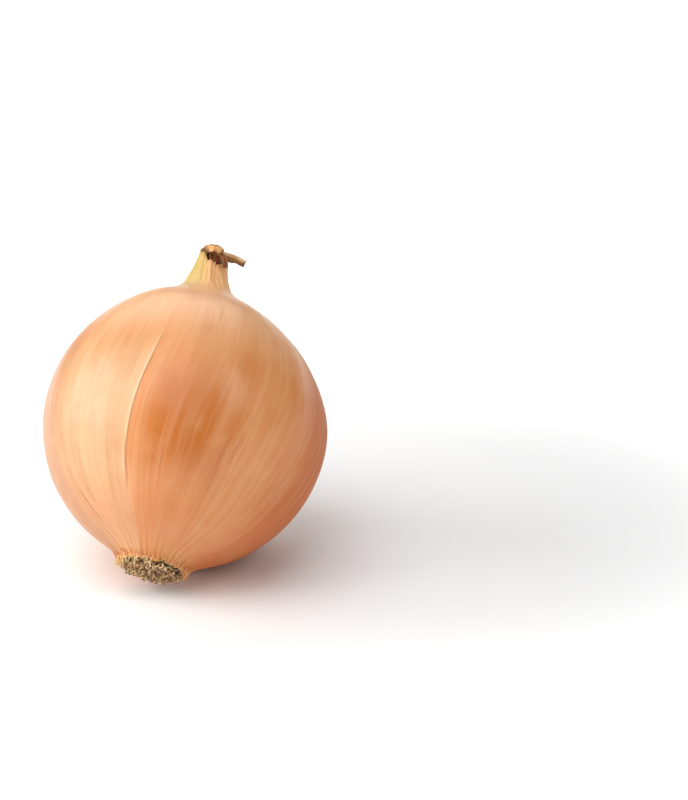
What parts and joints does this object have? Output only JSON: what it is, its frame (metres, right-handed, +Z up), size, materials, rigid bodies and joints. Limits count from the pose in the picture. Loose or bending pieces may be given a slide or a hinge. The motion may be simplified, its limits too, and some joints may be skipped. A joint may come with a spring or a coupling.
{
  "type": "onion",
  "caption": "Whole yellow globe onion in its dry skin, lying on its side with a tuft of root stubs at one end and a dried neck with curled leaf ends at the other.",
  "frame": {"origin": "on the table plane, under the middle of the whole onion's box", "axes": "+Z up; the onion lies with its root end low towards -Y and its neck high towards +Y, leaning to +X"},
  "size_m": [0.0804, 0.0802, 0.0832],
  "materials": {
    "dry_skin": "satin papery golden orange skin with fine veins from root to neck",
    "dry_root": "matt straw grey dried root fibres",
    "dead_leaf": "matt tan and brown withered leaf"
  },
  "bodies": {
    "root": {"bulb": "dry_skin", "root_tuft": "dry_root", "leaf_ends": "dead_leaf"}
  },
  "joints": []
}
